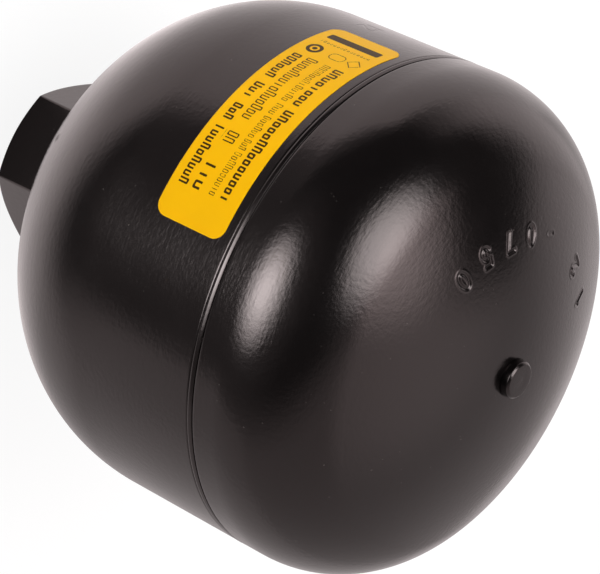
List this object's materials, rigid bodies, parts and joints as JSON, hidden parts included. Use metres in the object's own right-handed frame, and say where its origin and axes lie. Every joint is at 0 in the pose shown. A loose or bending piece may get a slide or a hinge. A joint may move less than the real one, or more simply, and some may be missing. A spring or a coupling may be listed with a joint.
{
  "type": "hydraulic accumulator",
  "caption": "Welded diaphragm accumulator: deep-drawn steel vessel with a hexagonal oil port, a sealed gas end and an inner rubber diaphragm with valve button.",
  "frame": {"origin": "centre of the port face, on which the part stands", "axes": "+Z along the axis from the oil port towards the gas end; a corner of the hexagon points along -Y, and the middle of the label is 2.6 degrees from -Y towards +X"},
  "size_m": [0.1212, 0.1212, 0.1455],
  "materials": {
    "black_paint": "satin to semi-gloss sprayed paint with a fine orange peel",
    "weld_paint": "paint over a narrow girth weld",
    "yellow_label": "satin film with plain dark print",
    "black_rubber": "moulded nitrile rubber",
    "plated_steel": "turned and zinc plated",
    "turned_steel": "turned"
  },
  "bodies": {
    "shell": {"fluid_shell": "black_paint", "gas_shell": "black_paint", "girth_weld": "weld_paint", "clamp_ring": "turned_steel", "diaphragm": "black_rubber", "gas_plug": "black_paint", "label": "yellow_label"},
    "valve": {"valve_button": "plated_steel"}
  },
  "joints": [
    {"name": "valve_travel", "type": "slide", "parent": "shell", "child": "valve", "axis": [0, 0, 1], "range_m": [0, 0.085], "stiffness_N_per_m": 300, "springref_m": -0.05, "deforming": ["diaphragm"]}
  ]
}
